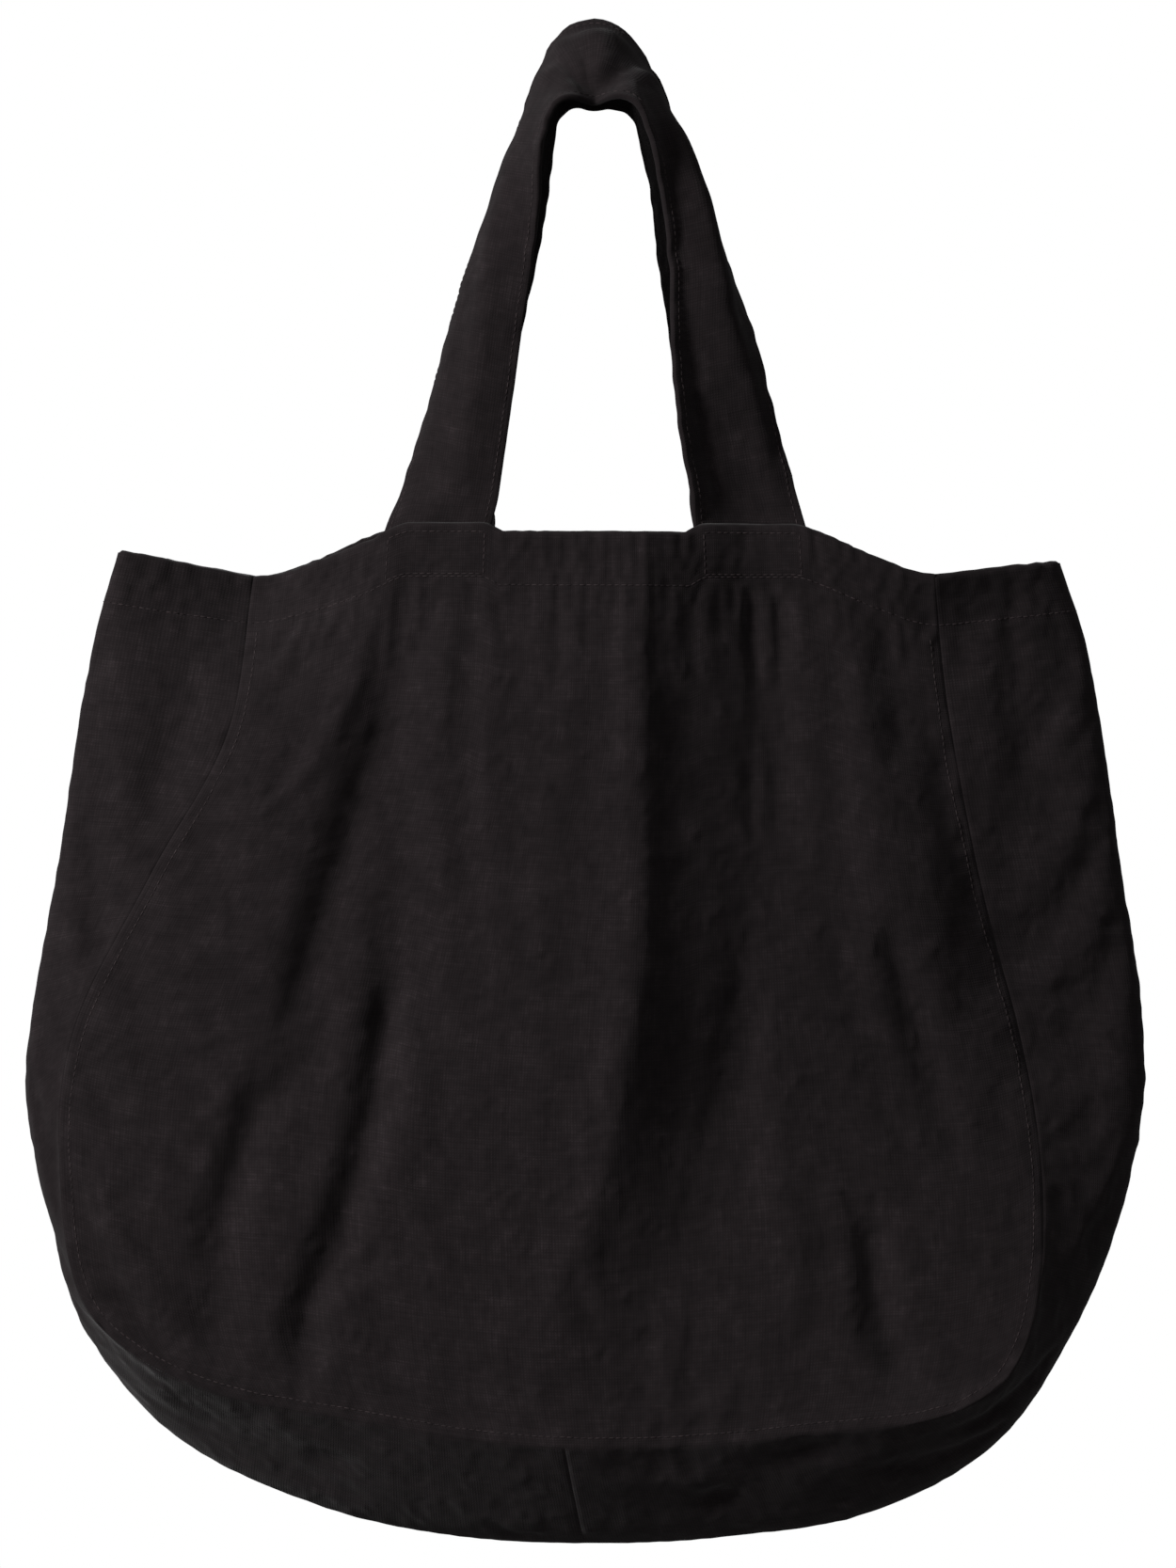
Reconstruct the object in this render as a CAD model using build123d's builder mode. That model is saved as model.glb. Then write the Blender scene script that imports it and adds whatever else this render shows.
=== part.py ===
from build123d import *

import os
from math import asin, atan2, cos, degrees, exp, hypot, radians, sin, sqrt

# A large soft canvas tote bag that hangs by two sewn handles. Millimetres, +Z up, front towards -Y.
# The origin is midway between the handles, at the underside of their crowns, where the bag hangs.

# Cloth, seams and thread
cloth_thickness = 0.9
hem_height = 26.0
hem_thickness = 1.8
seam_allowance = 10.0
allowance_thickness = 1.8
thread_width = 0.8
thread_height = 0.4
hem_stitch_rise = 2.5
topstitch_inset = 5.0
stitch_clearance = 0.6

# The bag's body seen from the front: the fold of the gusset is its outline
handle_drop = 198.0
body_height = 467.0
mouth_half_width = 219.0
belly_half_width = 258.0
belly_rise = 210.0
fold_flat_half = 48.0

# The front and back panels, and how far they stand apart
panel_height = 418.0
panel_mouth_half = 157.0
panel_belly_half = 216.0
panel_corner_rise = 90.0
panel_flat_half = 126.0
mouth_half_depth = 36.0
base_half_depth = 50.0

# How the slack panels stand out between their seams, flat beside them and below the hem for the sewing
panel_swell = 7.0
seam_margin = 14.0
hem_margin = 14.0
swell_columns = 8
swell_rows = 7

# Broad folds that run down a panel: place across at the hem and at the bottom, depth and half width
front_folds = [(-112, -128, 5, 34), (96, 72, 9.5, 44)]
back_folds = [(95, 95, 5, 36), (-52, -46, 9.5, 44)]

# The handles: flat straps that rise from the hem, turn edge on and meet in a crown
strap_width = 50.0
strap_thickness = 3.0
strap_spacing = 144.0
strap_root_rise = 14.0
strap_end_clearance = 0.3
fold_clearance = 0.3
box_stitch_inset = 3.0
edge_stitch_inset = 3.5
crown_radius = 28.0
shoulder_twist = 68.0
crown_twist = 38.0
handle_clearance = 3.0
leg_steps = 8
crown_steps = 5

# Planes of the front seam, of the gusset's fold and of the back seam, each with its zero at the mouth
hem_z = -handle_drop
panel_lean = asin((base_half_depth - mouth_half_depth) / panel_height)
front_plane = Plane((0, -mouth_half_depth, hem_z), (1, 0, 0), (0, -cos(panel_lean), sin(panel_lean)))
fold_plane = Plane((0, 0, hem_z), (1, 0, 0), (0, -1, 0))
back_plane = Plane((0, mouth_half_depth, hem_z), (1, 0, 0), (0, -cos(panel_lean), -sin(panel_lean)))


def outline(plane, mouth_half, belly_half, flat_half, height, corner_rise):
    """A U on a plane: slightly bowed sides, round lower corners and a flat bottom below a straight mouth."""
    belly = (belly_half, corner_rise - height)
    with BuildSketch(plane) as shape:
        with BuildLine():
            Line((0, 0), (mouth_half, 0))
            TangentArc(belly, (mouth_half, 0), tangent=(0, 1))
            EllipticalCenterArc(
                (flat_half, corner_rise - height), belly_half - flat_half, corner_rise, 270, arc_size=90
            )
            Line((flat_half, -height), (0, -height))
            mirror(about=Plane.YZ)
        make_face()
    return shape.sketch


def panel_outline(plane, at_mouth, at_belly, at_bottom):
    """A panel's outline, drawn in from its seam by an amount at the mouth, the belly and the bottom."""
    return outline(
        plane,
        panel_mouth_half - at_mouth,
        panel_belly_half - at_belly,
        panel_flat_half,
        panel_height - at_bottom,
        panel_corner_rise - at_bottom,
    )


def fold_outline(at_mouth, at_belly, at_bottom):
    """The outline of the gusset's fold, drawn in by an amount at the mouth, the belly and the bottom."""
    return outline(
        fold_plane,
        mouth_half_width - at_mouth,
        belly_half_width - at_belly,
        fold_flat_half,
        body_height - at_bottom,
        belly_rise - at_bottom,
    )


def slant(reach, depth):
    """How much further a slanted wall measures across its outline than through its thickness."""
    return hypot(reach, depth) / depth


def insets(inward):
    """The amounts that draw the outlines in so that the slanted gusset moves inwards by a thickness."""
    return (
        inward * slant(mouth_half_width - panel_mouth_half, mouth_half_depth),
        inward * slant(belly_half_width - panel_belly_half, base_half_depth),
        inward * slant(body_height - panel_height, base_half_depth),
    )


def bag_sections(inward):
    """Front seam, fold and back seam of the bag's form, with its slanted sides moved inwards."""
    amounts = insets(inward)
    return [panel_outline(front_plane, *amounts), fold_outline(*amounts), panel_outline(back_plane, *amounts)]


def panel_half_width(drop):
    """Half a panel's width at a distance below the mouth: bowed as far as the belly, then round."""
    belly_drop = panel_height - panel_corner_rise
    if drop > belly_drop:
        rounding = sqrt(1 - ((drop - belly_drop) / panel_corner_rise) ** 2)
        return panel_flat_half + (panel_belly_half - panel_flat_half) * rounding
    bow = panel_belly_half - panel_mouth_half
    bow_radius = (bow**2 + belly_drop**2) / (2 * bow)
    return panel_belly_half - bow_radius + sqrt(bow_radius**2 - (belly_drop - drop) ** 2)


def swell(x, share, folds):
    """How far a panel stands out at a place across it and a share of the way down, less its folds."""
    if not 0 < share < 1:
        return 0
    fading = 4 * share * (1 - share)
    drawn_in = 0
    for at_hem, at_bottom, depth, half_width in folds:
        away = (x - at_hem - (at_bottom - at_hem) * share) / half_width
        drawn_in += depth * fading * exp(-(away**2))
    return panel_swell - drawn_in


def panel_section(drop, share, folds):
    """A panel's cross section at a distance below the mouth: slack inside its margins, flat past them."""
    half_width = panel_half_width(min(max(drop, 0), panel_height - seam_margin)) - seam_margin
    columns = [half_width * (2 * column / swell_columns - 1) for column in range(swell_columns + 1)]
    slack = [(x, swell(x, share, folds)) for x in columns[1:-1]]
    past_seam = panel_belly_half + seam_margin
    line = [(-past_seam, 0), (-half_width, 0), *slack, (half_width, 0), (past_seam, 0)]
    corners = [(x, rise + cloth_thickness) for x, rise in line] + line[::-1]
    return Face(Wire.make_polygon([front_plane.from_local_coords((x, -drop, rise)) for x, rise in corners]))


def panel(folds):
    """A front panel: a slack sheet through its cross sections, cut to the outline of its seam."""
    top = hem_height + hem_margin
    slack_height = panel_height - seam_margin - top
    sections = []
    for row in range(-1, swell_rows + 2):
        share = row / swell_rows
        sections.append(panel_section(top + slack_height * share, share, folds))
    with BuildPart() as sheet:
        loft(sections=sections, ruled=True)
        with BuildSketch(front_plane):
            add(panel_outline(Plane.XY, 0, 0, 0))
        extrude(amount=base_half_depth, both=True, mode=Mode.INTERSECT)
    return sheet.part


# The two panels, slack between their seams
with BuildPart() as front_panel:
    add(panel(front_folds))
front_panel.part.label = "front_panel"

with BuildPart() as back_panel:
    mirror(panel(back_folds), about=Plane.XZ)
back_panel.part.label = "back_panel"

# The gusset: a strip folded along its middle that closes the sides and the bottom, in two halves
with BuildPart() as gusset_strip:
    loft(sections=bag_sections(0), ruled=True)
    loft(sections=bag_sections(cloth_thickness), ruled=True, mode=Mode.SUBTRACT)

with BuildPart() as left_gusset:
    add(gusset_strip.part)
    split(bisect_by=Plane.YZ, keep=Keep.BOTTOM)
left_gusset.part.label = "left_gusset"

with BuildPart() as right_gusset:
    mirror(left_gusset.part, about=Plane.YZ)
right_gusset.part.label = "right_gusset"

# The mouth's edge turned in, on the panels and on the gusset
hem_inner = cloth_thickness + hem_thickness
hem_half_width = panel_mouth_half - insets(hem_inner)[0]

with BuildPart() as front_hem:
    with BuildSketch(front_plane):
        with Locations((0, -hem_height / 2)):
            Rectangle(2 * hem_half_width, hem_height)
    extrude(amount=-hem_thickness)
front_hem.part.label = "front_hem"

with BuildPart() as back_hem:
    mirror(front_hem.part, about=Plane.XZ)
back_hem.part.label = "back_hem"

with BuildPart() as left_gusset_hem:
    loft(sections=bag_sections(cloth_thickness), ruled=True)
    loft(sections=bag_sections(hem_inner), ruled=True, mode=Mode.SUBTRACT)
    split(bisect_by=Plane.XY.offset(hem_z - hem_height), keep=Keep.TOP)
    split(bisect_by=Plane.YZ, keep=Keep.BOTTOM)
left_gusset_hem.part.label = "left_gusset_hem"

with BuildPart() as right_gusset_hem:
    mirror(left_gusset_hem.part, about=Plane.YZ)
right_gusset_hem.part.label = "right_gusset_hem"

# The seams' turned-in edges, inside the bag and below the hem
mouth_inset, belly_inset, bottom_inset = insets(cloth_thickness)


def seam_band(at_mouth, at_belly, at_bottom, width):
    """A band of a given width that follows a panel's seam at some distance, from just below the hem."""
    with BuildSketch() as band:
        add(panel_outline(Plane.XY, at_mouth, at_belly, at_bottom))
        add(
            panel_outline(Plane.XY, at_mouth + width, at_belly + width, at_bottom + width),
            mode=Mode.SUBTRACT,
        )
        Rectangle(2 * panel_belly_half, 2 * (hem_height + stitch_clearance), mode=Mode.SUBTRACT)
    return band.sketch


with BuildPart() as front_seam_allowance:
    with BuildSketch(front_plane):
        add(seam_band(mouth_inset, belly_inset, bottom_inset, seam_allowance))
    extrude(amount=-allowance_thickness)
front_seam_allowance.part.label = "front_seam_allowance"

with BuildPart() as back_seam_allowance:
    mirror(front_seam_allowance.part, about=Plane.XZ)
back_seam_allowance.part.label = "back_seam_allowance"

# Thread on the outside: the hem's row, the seam's row and the boxes that hold the strap tails
outside = front_plane.offset(cloth_thickness)
hem_row = hem_stitch_rise - hem_height

with BuildPart() as front_hem_stitching:
    with BuildSketch(outside):
        with Locations((0, hem_row)):
            Rectangle(2 * panel_mouth_half, thread_width)
    extrude(amount=thread_height)
front_hem_stitching.part.label = "front_hem_stitching"

with BuildPart() as back_hem_stitching:
    mirror(front_hem_stitching.part, about=Plane.XZ)
back_hem_stitching.part.label = "back_hem_stitching"

with BuildPart() as left_gusset_hem_stitching:
    loft(sections=bag_sections(-thread_height), ruled=True)
    loft(sections=bag_sections(0), ruled=True, mode=Mode.SUBTRACT)
    split(bisect_by=Plane.XY.offset(hem_z + hem_row - thread_width / 2), keep=Keep.TOP)
    split(bisect_by=Plane.XY.offset(hem_z + hem_row + thread_width / 2), keep=Keep.BOTTOM)
    split(bisect_by=Plane.YZ, keep=Keep.BOTTOM)
left_gusset_hem_stitching.part.label = "left_gusset_hem_stitching"

with BuildPart() as right_gusset_hem_stitching:
    mirror(left_gusset_hem_stitching.part, about=Plane.YZ)
right_gusset_hem_stitching.part.label = "right_gusset_hem_stitching"

with BuildPart() as front_seam_topstitching:
    with BuildSketch(outside):
        add(seam_band(topstitch_inset, topstitch_inset, topstitch_inset, thread_width))
    extrude(amount=thread_height)
front_seam_topstitching.part.label = "front_seam_topstitching"

with BuildPart() as back_seam_topstitching:
    mirror(front_seam_topstitching.part, about=Plane.XZ)
back_seam_topstitching.part.label = "back_seam_topstitching"

box_bottom = hem_row + thread_width / 2 + stitch_clearance
box_height = -box_stitch_inset - box_bottom
box_width = strap_width - 2 * box_stitch_inset

with BuildPart() as front_box_stitching:
    with BuildSketch(outside):
        with Locations(
            (-strap_spacing / 2, box_bottom + box_height / 2),
            (strap_spacing / 2, box_bottom + box_height / 2),
        ):
            Rectangle(box_width, box_height)
            Rectangle(box_width - 2 * thread_width, box_height - 2 * thread_width, mode=Mode.SUBTRACT)
    extrude(amount=thread_height)
front_box_stitching.part.label = "front_box_stitching"

with BuildPart() as back_box_stitching:
    mirror(front_box_stitching.part, about=Plane.XZ)
back_box_stitching.part.label = "back_box_stitching"

# The strap tails: sewn flat to the inside of the hem, and standing a little above it
tail_plane = front_plane.offset(-hem_thickness)

with BuildPart() as front_left_strap_tail:
    with BuildSketch(tail_plane):
        with Locations((-strap_spacing / 2, (strap_root_rise - hem_height) / 2)):
            Rectangle(strap_width, strap_root_rise + hem_height)
    extrude(amount=-strap_thickness)
front_left_strap_tail.part.label = "front_left_strap_tail"

with BuildPart() as front_right_strap_tail:
    mirror(front_left_strap_tail.part, about=Plane.YZ)
front_right_strap_tail.part.label = "front_right_strap_tail"

with BuildPart() as back_left_strap_tail:
    mirror(front_left_strap_tail.part, about=Plane.XZ)
back_left_strap_tail.part.label = "back_left_strap_tail"

with BuildPart() as back_right_strap_tail:
    mirror(front_right_strap_tail.part, about=Plane.XZ)
back_right_strap_tail.part.label = "back_right_strap_tail"

# Where the front handle stands on its tails, the line just in front of them that it folds down about,
# and the round crown that its legs run up to
half_width = strap_width / 2
half_thickness = strap_thickness / 2
foot_rise = strap_root_rise + strap_end_clearance
foot = front_plane.from_local_coords(Vector(0, foot_rise, -hem_thickness - half_thickness))
fold_line = front_plane.from_local_coords(Vector(0, foot_rise, -hem_thickness + thread_height + fold_clearance))
crown_reach = half_width * cos(radians(crown_twist)) + half_thickness * sin(radians(crown_twist))
shoulder_reach = half_width * sin(radians(shoulder_twist)) + half_thickness * cos(radians(shoulder_twist))
crown_z = crown_reach - crown_radius
crown_y = -shoulder_reach - handle_clearance / 2
foot_x = strap_spacing / 2
foot_to_crown = hypot(foot_x, crown_z - foot.Z)
leg_length = sqrt(foot_to_crown**2 - crown_radius**2)
leg_angle = atan2(crown_z - foot.Z, foot_x) + asin(crown_radius / foot_to_crown)


def strap_section(x, y, z, rising, twist):
    """A plane across the strap: its x runs over the strap's width, out of the loop and, by the twist, back."""
    out_of_loop = Vector(-sin(rising), 0, cos(rising))
    across = out_of_loop * cos(radians(twist)) + Vector(0, sin(radians(twist)), 0)
    return Plane((x, y, z), across, (cos(rising), 0, sin(rising)))


def leg_section(share):
    """A plane across the left leg, from its foot at 0 to its shoulder at 1, where it has turned edge on."""
    eased = share * share * (3 - 2 * share)
    rising = radians(90) + (leg_angle - radians(90)) * min(1, share * leg_steps)
    x = -foot_x + leg_length * cos(leg_angle) * share
    y = foot.Y + (crown_y - foot.Y) * share
    z = foot.Z + leg_length * sin(leg_angle) * share
    return strap_section(x, y, z, rising, shoulder_twist * eased)


def crown_section(share):
    """A plane across the left half of the crown, from the shoulder at 0 to the top at 1."""
    rising = leg_angle * (1 - share)
    twist = shoulder_twist + (crown_twist - shoulder_twist) * share
    return strap_section(
        -crown_radius * sin(rising), crown_y, crown_z + crown_radius * cos(rising), rising, twist
    )


def other_side(plane):
    """The same section on the handle's right side, with the strap running on the same way."""
    x, y, z = plane.origin
    across = plane.x_dir
    along = plane.z_dir
    return Plane((-x, y, z), (-across.X, across.Y, across.Z), (along.X, -along.Y, -along.Z))


left_sections = [leg_section(step / leg_steps) for step in range(leg_steps + 1)]
left_sections += [crown_section(step / crown_steps) for step in range(1, crown_steps + 1)]
strap_sections = left_sections + [other_side(plane) for plane in reversed(left_sections[:-1])]

# The front handle, and the back handle behind it
with BuildPart() as front_handle:
    for plane in strap_sections:
        with BuildSketch(plane):
            Rectangle(strap_width, strap_thickness)
    loft(ruled=True)
front_handle.part.label = "front_handle"

with BuildPart() as back_handle:
    mirror(front_handle.part, about=Plane.XZ)
back_handle.part.label = "back_handle"

# Rows of stitching along both edges of each strap, on the face that looks out of the bag
edge_row = half_width - edge_stitch_inset
row_height = half_thickness + thread_height / 2

with BuildPart() as front_handle_outer_stitching:
    for plane in strap_sections:
        with BuildSketch(plane):
            with Locations((edge_row, row_height)):
                Rectangle(thread_width, thread_height)
    loft(ruled=True)
front_handle_outer_stitching.part.label = "front_handle_outer_stitching"

with BuildPart() as front_handle_inner_stitching:
    for plane in strap_sections:
        with BuildSketch(plane):
            with Locations((-edge_row, row_height)):
                Rectangle(thread_width, thread_height)
    loft(ruled=True)
front_handle_inner_stitching.part.label = "front_handle_inner_stitching"

with BuildPart() as back_handle_outer_stitching:
    mirror(front_handle_outer_stitching.part, about=Plane.XZ)
back_handle_outer_stitching.part.label = "back_handle_outer_stitching"

with BuildPart() as back_handle_inner_stitching:
    mirror(front_handle_inner_stitching.part, about=Plane.XZ)
back_handle_inner_stitching.part.label = "back_handle_inner_stitching"

pieces = [
    front_panel,
    back_panel,
    left_gusset,
    right_gusset,
    front_hem,
    back_hem,
    left_gusset_hem,
    right_gusset_hem,
    front_seam_allowance,
    back_seam_allowance,
    front_hem_stitching,
    back_hem_stitching,
    left_gusset_hem_stitching,
    right_gusset_hem_stitching,
    front_seam_topstitching,
    back_seam_topstitching,
    front_box_stitching,
    back_box_stitching,
    front_left_strap_tail,
    front_right_strap_tail,
    back_left_strap_tail,
    back_right_strap_tail,
    front_handle,
    back_handle,
    front_handle_outer_stitching,
    front_handle_inner_stitching,
    back_handle_outer_stitching,
    back_handle_inner_stitching,
]

os.makedirs("parts", exist_ok=True)
for piece in pieces:
    export_step(piece.part, f"parts/{piece.part.label}.step")

print("front handle folds about x at y, z:", round(fold_line.Y, 3), round(fold_line.Z, 3))
print("legs rise at", round(degrees(leg_angle), 1), "degrees and are", round(leg_length, 1), "mm long")
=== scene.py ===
# %% [markdown]
# # A washed canvas tote bag that hangs by its handles
# The bag is sewn from a front panel, a back panel and a gusset that runs round the sides and the bottom.
# Two straps make its handles. It hangs empty, so the cloth is slack: the gusset folds flat along its
# middle, the hem dips beside each strap, and long soft folds run down the panels.
# Every piece here is a thin cloth mesh that stands for one solid of the measured frame.

# %% Load the measured frame
from math import asin, atan2, cos, degrees, hypot, pi, radians, sin, sqrt

import bmesh
import bpy
import numpy as np
from mathutils import Matrix, Vector, noise
from mathutils.bvhtree import BVHTree
from mathutils.geometry import interpolate_bezier
from mathutils.kdtree import KDTree


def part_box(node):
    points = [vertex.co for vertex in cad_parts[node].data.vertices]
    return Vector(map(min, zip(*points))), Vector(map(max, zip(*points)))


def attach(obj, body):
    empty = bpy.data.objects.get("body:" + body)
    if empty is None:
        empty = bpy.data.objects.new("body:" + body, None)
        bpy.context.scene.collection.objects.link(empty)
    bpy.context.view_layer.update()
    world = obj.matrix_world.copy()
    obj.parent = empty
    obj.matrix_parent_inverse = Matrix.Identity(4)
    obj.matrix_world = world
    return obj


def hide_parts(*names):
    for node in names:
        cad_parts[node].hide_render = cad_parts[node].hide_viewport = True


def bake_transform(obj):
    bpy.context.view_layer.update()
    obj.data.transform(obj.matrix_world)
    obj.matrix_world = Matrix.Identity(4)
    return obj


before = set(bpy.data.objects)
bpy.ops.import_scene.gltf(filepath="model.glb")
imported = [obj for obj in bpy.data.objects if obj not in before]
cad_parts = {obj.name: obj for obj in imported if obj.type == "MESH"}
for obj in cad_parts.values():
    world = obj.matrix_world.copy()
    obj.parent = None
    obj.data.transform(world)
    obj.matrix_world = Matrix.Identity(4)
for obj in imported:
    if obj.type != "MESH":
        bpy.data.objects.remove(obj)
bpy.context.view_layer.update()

MM = 0.001

# %% [markdown]
# ## The camera
# The bag was pictured straight on and level, from far away, so its sides hardly converge. A long lens three
# metres off gives the same flat look. The picture is taller than wide, so the sensor's size counts along
# its height.

# %% Place the camera
picture_height = 725 * MM
picture_centre = Vector((-3.0, 0.0, -314.0)) * MM
camera_distance = 3.0
sensor_size = 36.0

camera_data = bpy.data.cameras.new("camera")
camera_data.sensor_width = sensor_size
camera_data.lens = sensor_size * camera_distance / picture_height
camera = bpy.data.objects.new("camera", camera_data)
camera.location = picture_centre - Vector((0, camera_distance, 0))
camera.rotation_euler = (radians(90), 0, 0)
bpy.context.collection.objects.link(camera)
bpy.context.scene.camera = camera
print("lens, mm:", round(camera_data.lens, 1))

# %% [markdown]
# ## Smooth outlines
# The bag's outline is soft: no stretch of it is a true arc. A few points read off the real bag, joined by a
# smooth line, describe it better than arcs would. The line's points are then found again by their share of
# its length, so that two outlines can be matched to each other.

# %% Draw smooth lines through a few points
samples_between = 16


def run_along(points):
    """How far along its line each point lies. In a grid, each column is a line."""
    steps = np.linalg.norm(np.diff(points, axis=0), axis=-1)
    return np.concatenate([np.zeros_like(steps[:1]), np.cumsum(steps, axis=0)])


def smooth_line(points):
    """A smooth line through (x, z) points in mm: the samples' shares of its length, and the samples."""
    knots = [Vector((x, 0, z)) * MM for x, z in points]
    samples = [knots[0]]
    for index in range(len(knots) - 1):
        start, stop = knots[index], knots[index + 1]
        before = knots[max(index - 1, 0)]
        after = knots[min(index + 2, len(knots) - 1)]
        reach = (stop - start).length / 3
        leaving = start + (stop - before).normalized() * reach
        arriving = stop - (after - start).normalized() * reach
        samples += interpolate_bezier(start, leaving, arriving, stop, samples_between)[1:]
    samples = np.array(samples)
    steps = np.linalg.norm(np.diff(samples, axis=0), axis=1)
    return np.concatenate([[0], np.cumsum(steps)]) / steps.sum(), samples


def along(line, shares):
    """Values along a line, at shares of its length or wherever else they are known."""
    known, samples = line
    return np.stack([np.interp(shares, known, column) for column in samples.T], axis=-1)


def share_near(line, point):
    """The share of a smooth line's length that comes nearest to an (x, z) point in mm."""
    known, samples = line
    distances = np.linalg.norm(samples[:, [0, 2]] - np.array(point) * MM, axis=1)
    return known[distances.argmin()]


def ease(low, high, values):
    """0 below low, 1 above high, and a smooth rise between them."""
    share = np.clip((values - low) / (high - low), 0, 1)
    return share * share * (3 - 2 * share)


# %% [markdown]
# ## The outlines of the bag
# Seen from the front, the outer outline is the gusset's fold. Inside it lies the seam of the front panel.
# The slack bag has slid a little to the left, so the seam runs close to the fold on the left and far from
# it on the right. The back seam is the same line turned round, because the back panel slid the other way.

# %% Set out the fold, the seams and the mouth
fold_line = smooth_line([
    (-218, -208), (-230, -252), (-245, -349), (-260, -447), (-249, -514), (-231, -570), (-191, -617),
    (-123, -649), (-61, -662), (3, -665), (61, -662), (126, -651), (183, -621), (220, -572), (245, -516),
    (257, -447), (244, -340), (230, -252), (217, -211),
])
fold_corners = share_near(fold_line, (-218, -590)), share_near(fold_line, (206, -590))

seam_line = smooth_line([
    (-157, -219), (-167, -290), (-202, -355), (-238, -430), (-242, -505), (-228, -556), (-181, -587),
    (-110, -602), (-40, -613), (30, -615), (100, -609), (160, -601), (192, -580), (206, -530),
    (202, -455), (178, -356), (164, -282), (157, -219),
])
seam_corners = share_near(seam_line, (-212, -568)), share_near(seam_line, (190, -584))

strap_spacing = 144 * MM
hem_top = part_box("front_panel")[1].z

# How far the mouth's edge hangs below the straps, as pairs of x and drop in mm
mouth_dips = [(-157, 23.4), (-150, 23.3), (-140, 21.2), (-123, 15.4), (-104, 8.4), (-92, 2.4), (-86, 0),
              (-50, 0), (-43, 4), (43, 4.2), (50, 0),
              (93, 0), (100, 2.4), (108, 5.6), (125, 13.6), (143, 20.6), (151, 22.8), (157, 23.4)]


def mouth_edge(x):
    """The height of the mouth's edge: level between and on the straps, lower towards the seams."""
    places, drops = zip(*mouth_dips)
    return hem_top - np.interp(x / MM, places, drops) * MM


print("corners at shares", [round(float(share), 3) for share in fold_corners + seam_corners])

# %% [markdown]
# ## Cloth as a grid
# Every cloth piece starts as a flat grid, like the piece before it was sewn. Its corners' places in the
# flat cut become its UV map, in metres, so that the weave follows the threads. Then each corner moves to
# its place in the sewn bag.

# %% Turn a grid into a cloth mesh
pieces = {}


def lengths_across(points, axis):
    """How far each grid point lies along its row or column, averaged over the grid."""
    return run_along(np.moveaxis(points, axis, 0)).mean(axis=1)


def finished(name, bm):
    """A bmesh as a smooth-shaded object in the scene."""
    for face in bm.faces:
        face.smooth = True
    mesh = bpy.data.meshes.new(name)
    bm.to_mesh(mesh)
    bm.free()
    piece = bpy.data.objects.new(name, mesh)
    bpy.context.collection.objects.link(piece)
    return piece


def placed_grid(bm, points):
    """Adds a grid to a bmesh and moves its corners to points[row, column]."""
    rows, columns = points.shape[:2]
    made = bmesh.ops.create_grid(bm, x_segments=columns - 1, y_segments=rows - 1, size=1)
    for vert, place in zip(made["verts"], points.reshape(-1, 3)):
        vert.co = place


def cloth(name, points, thickness, kind="cloth", offset=-1.0):
    """Adds a cloth piece with corners at points[row, column], its flat cut as UV map, and its thickness."""
    columns = points.shape[1]
    bm = bmesh.new()
    placed_grid(bm, points)
    flat_x = lengths_across(points, 1)
    flat_y = lengths_across(points, 0)
    layer = bm.loops.layers.uv.new("flat_cut")
    bm.verts.index_update()
    for face in bm.faces:
        for loop in face.loops:
            row, column = divmod(loop.vert.index, columns)
            loop[layer].uv = flat_x[column], flat_y[row]
    piece = finished(f"{name}_{kind}", bm)
    wall = piece.modifiers.new("cloth thickness", "SOLIDIFY")
    wall.thickness = thickness
    wall.offset = offset
    shading = piece.modifiers.new("even shading", "WEIGHTED_NORMAL")
    shading.weight = 100
    pieces[name] = piece


def normals_of(points):
    """The unit normal at each grid point."""
    across = np.gradient(points, axis=1)
    up = np.gradient(points, axis=0)
    normals = np.cross(across, up)
    return normals / np.maximum(np.linalg.norm(normals, axis=2, keepdims=True), 1e-12)


# %% [markdown]
# ## The panels before the cloth settles
# A panel fills the space inside its seam. Its grid is spread between four edges, the mouth, the two sides
# and the bottom, so that the threads run with the cloth. Its main folds are strokes: each pushes the cloth
# in along a path, as a finger would. The simulation further down adds the finer folds of slack cloth.

# %% Spread a panel inside its seam
panel_columns = 97
panel_rows = 91


def spread(seam, corners):
    """A panel's grid, bottom row first, spread between its seam and the mouth's edge."""
    across = np.linspace(0, 1, panel_columns)
    up = np.linspace(0, 1, panel_rows)
    bottom = along(seam, corners[0] + (corners[1] - corners[0]) * across)
    left = along(seam, corners[0] * (1 - up))
    right = along(seam, corners[1] + (1 - corners[1]) * up)
    top = left[-1] + (right[-1] - left[-1]) * across[:, None]
    top[:, 2] = mouth_edge(top[:, 0])
    s = across[None, :, None]
    w = up[:, None, None]
    return (
        (1 - w) * bottom[None] + w * top[None] + (1 - s) * left[:, None] + s * right[:, None]
        - (1 - s) * (1 - w) * bottom[0] - s * (1 - w) * bottom[-1]
        - (1 - s) * w * top[0] - s * w * top[-1]
    )

# %% Push folds into the cloth
stroke_fade = 0.2  # the share of a fold's length over which each end fades
ridge_level = 0.3  # how far ridges stand out, as a share of their height


def from_path(places, path):
    """Each place's distance from a path of points in mm, and its share of the way along the path."""
    path = np.array(path) * MM
    ends = run_along(path)
    nearest = np.full(places.shape[:-1], np.inf)
    share = np.zeros(places.shape[:-1])
    for index in range(len(path) - 1):
        run = path[index + 1] - path[index]
        spot = np.clip(((places - path[index]) @ run) / (run @ run), 0, 1)
        distance = np.linalg.norm(places - path[index] - spot[..., None] * run, axis=-1)
        closer = distance < nearest
        nearest[closer] = distance[closer]
        way = (ends[index] + spot * (ends[index + 1] - ends[index])) / ends[-1]
        share[closer] = way[closer]
    return nearest, share


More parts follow.
